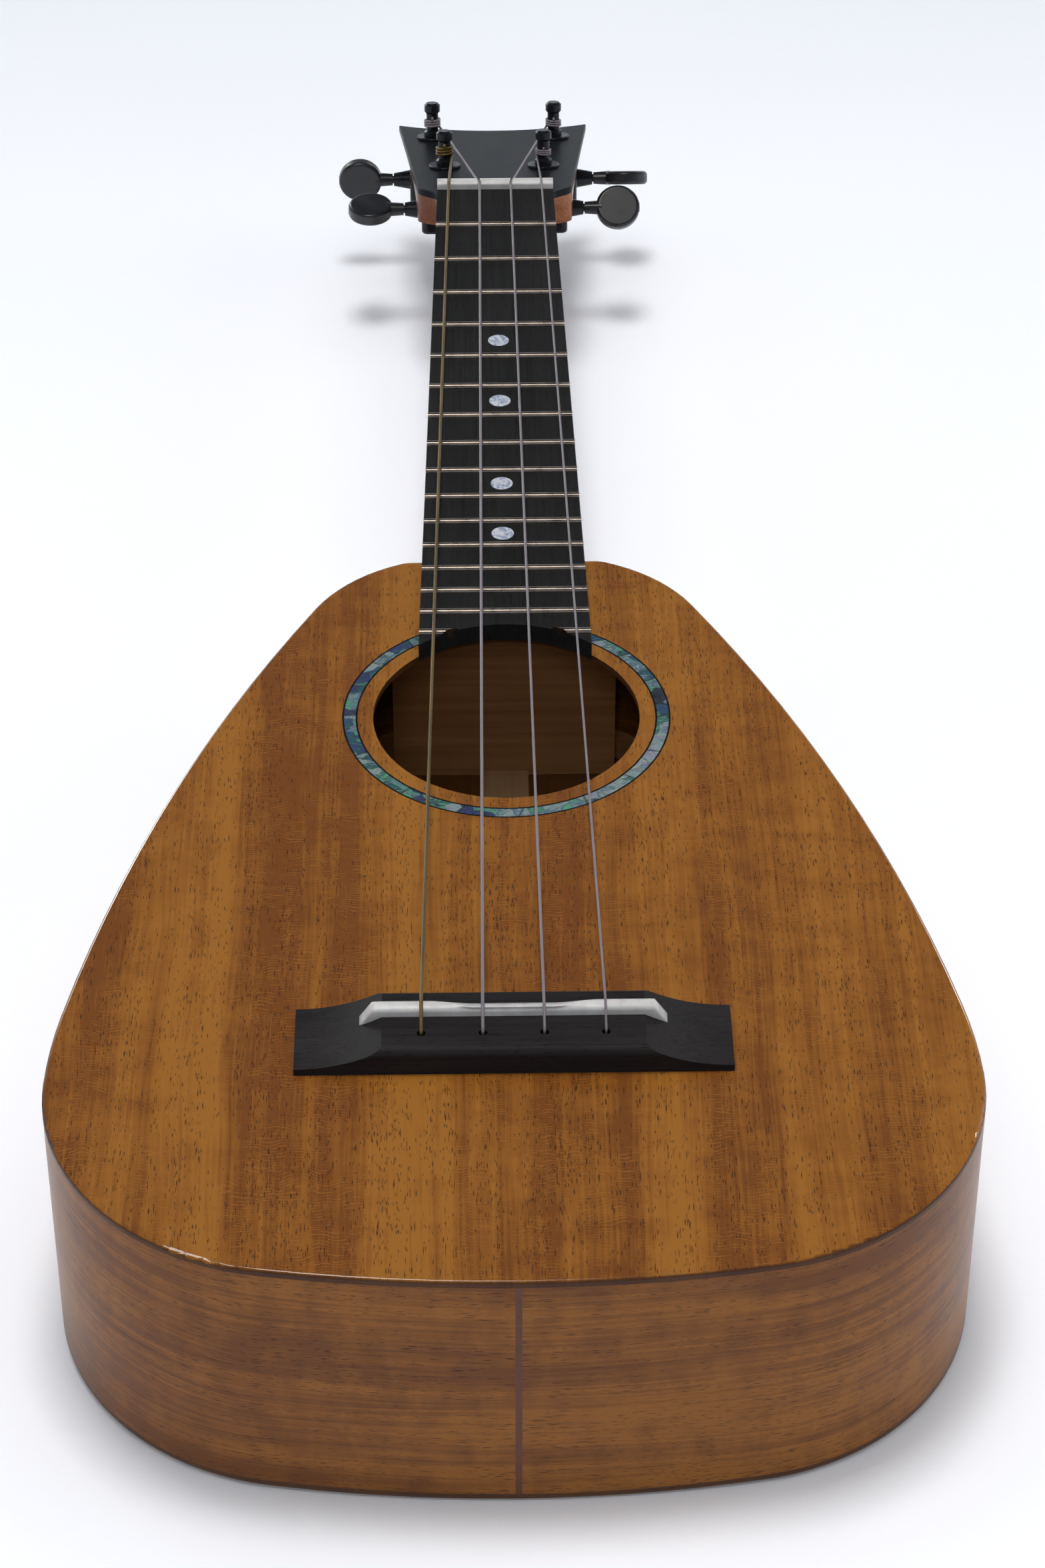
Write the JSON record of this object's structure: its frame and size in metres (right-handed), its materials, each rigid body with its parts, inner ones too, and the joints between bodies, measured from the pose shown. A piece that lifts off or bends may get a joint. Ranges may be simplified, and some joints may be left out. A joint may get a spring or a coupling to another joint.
{
  "type": "ukulele",
  "caption": "Concert ukulele with a rounded triangular sound box, round sound hole, fretted neck, glued bridge and geared tuners whose buttons turn the string posts.",
  "frame": {"origin": "middle of the base of the bounding box, under the body's centre line", "axes": "+Y along the neck towards the headstock, +Z out of the soundboard, +X across"},
  "size_m": [0.2132, 0.551, 0.0795],
  "materials": {
    "top_mahogany": "gloss lacquer over brown mahogany, grain along the neck",
    "side_mahogany": "gloss lacquer, grain along the rim",
    "back_mahogany": "gloss lacquer",
    "end_graft_wood": "dark reddish strip",
    "inner_mahogany": "bare sanded wood",
    "inner_spruce": "bare pale wood",
    "neck_mahogany": "satin mahogany",
    "abalone": "polished shell mosaic",
    "black_purfling": "thin black line",
    "bridge_ebony": "satin black wood",
    "bone": "polished bone",
    "headplate_ebony": "satin black veneer",
    "fretboard_ebony": "dull black wood with fine pores",
    "fret_nickel": "polished nickel silver",
    "pearl": "polished shell",
    "wound_string": "fine metal winding",
    "clear_string": "clear smooth nylon",
    "black_metal": "black plating",
    "screw_steel": "dark plated steel",
    "gear_brass": "machined brass",
    "shaft_steel": "black plated steel",
    "button_black": "moulded black"
  },
  "bodies": {
    "root": {"soundboard": "top_mahogany", "rosette_ring": "abalone", "rosette_purfling": "black_purfling", "side_left": "side_mahogany", "side_right": "side_mahogany", "end_graft": "end_graft_wood", "back_plate": "back_mahogany", "neck_block": "inner_mahogany", "tail_block": "inner_mahogany", "linings_top": "inner_mahogany", "linings_back": "inner_mahogany", "back_braces": "inner_mahogany", "back_centre_strip": "inner_spruce", "transverse_braces": "inner_spruce", "fan_braces": "inner_spruce", "bridge_plate": "inner_spruce", "bridge": "bridge_ebony", "saddle": "bone", "neck": "neck_mahogany", "heel_cap": "neck_mahogany", "headplate": "headplate_ebony", "fretboard": "fretboard_ebony", "frets": "fret_nickel", "position_dots": "pearl", "nut": "bone", "tuner_base_plates": "black_metal", "tuner_mounting_screws": "screw_steel", "tuner_bushings": "black_metal", "string_g": "wound_string", "string_c": "clear_string", "string_e": "clear_string", "string_a": "clear_string", "tuner_housing_g": "black_metal", "tuner_housing_c": "black_metal", "tuner_housing_e": "black_metal", "tuner_housing_a": "black_metal"},
    "post_g": {"tuner_post_g": "black_metal", "worm_wheel_g": "gear_brass", "string_winding_g": "wound_string"},
    "button_g": {"worm_shaft_g": "shaft_steel", "tuner_button_g": "button_black", "button_screw_g": "screw_steel"},
    "post_c": {"tuner_post_c": "black_metal", "worm_wheel_c": "gear_brass", "string_winding_c": "clear_string"},
    "button_c": {"worm_shaft_c": "shaft_steel", "tuner_button_c": "button_black", "button_screw_c": "screw_steel"},
    "post_e": {"tuner_post_e": "black_metal", "worm_wheel_e": "gear_brass", "string_winding_e": "clear_string"},
    "button_e": {"worm_shaft_e": "shaft_steel", "tuner_button_e": "button_black", "button_screw_e": "screw_steel"},
    "post_a": {"tuner_post_a": "black_metal", "worm_wheel_a": "gear_brass", "string_winding_a": "clear_string"},
    "button_a": {"worm_shaft_a": "shaft_steel", "tuner_button_a": "button_black", "button_screw_a": "screw_steel"}
  },
  "joints": [
    {"name": "button_turn_g", "type": "hinge", "parent": "root", "child": "button_g", "pos_m": [-0.0275, 0.22502, 0.04351], "axis": [-1, 0, 0], "continuous": true},
    {"name": "post_turn_g", "type": "hinge", "parent": "root", "child": "post_g", "pos_m": [-0.0155, 0.22222, 0.0601], "axis": [0, 0.2588, 0.9659], "continuous": true},
    {"name": "button_turn_c", "type": "hinge", "parent": "root", "child": "button_c", "pos_m": [-0.0315, 0.26105, 0.03386], "axis": [-1, 0, 0], "continuous": true},
    {"name": "post_turn_c", "type": "hinge", "parent": "root", "child": "post_c", "pos_m": [-0.0195, 0.25825, 0.05045], "axis": [0, 0.2588, 0.9659], "continuous": true},
    {"name": "button_turn_e", "type": "hinge", "parent": "root", "child": "button_e", "pos_m": [0.0315, 0.26105, 0.03386], "axis": [1, 0, 0], "continuous": true},
    {"name": "post_turn_e", "type": "hinge", "parent": "root", "child": "post_e", "pos_m": [0.0195, 0.25825, 0.05045], "axis": [0, 0.2588, 0.9659], "continuous": true},
    {"name": "button_turn_a", "type": "hinge", "parent": "root", "child": "button_a", "pos_m": [0.0275, 0.22502, 0.04351], "axis": [1, 0, 0], "continuous": true},
    {"name": "post_turn_a", "type": "hinge", "parent": "root", "child": "post_a", "pos_m": [0.0155, 0.22222, 0.0601], "axis": [0, 0.2588, 0.9659], "continuous": true}
  ],
  "couplings": [
    {"joint": "post_turn_g", "follows": "button_turn_g", "ratio": 0.071429},
    {"joint": "post_turn_c", "follows": "button_turn_c", "ratio": 0.071429},
    {"joint": "post_turn_e", "follows": "button_turn_e", "ratio": 0.071429},
    {"joint": "post_turn_a", "follows": "button_turn_a", "ratio": 0.071429}
  ]
}
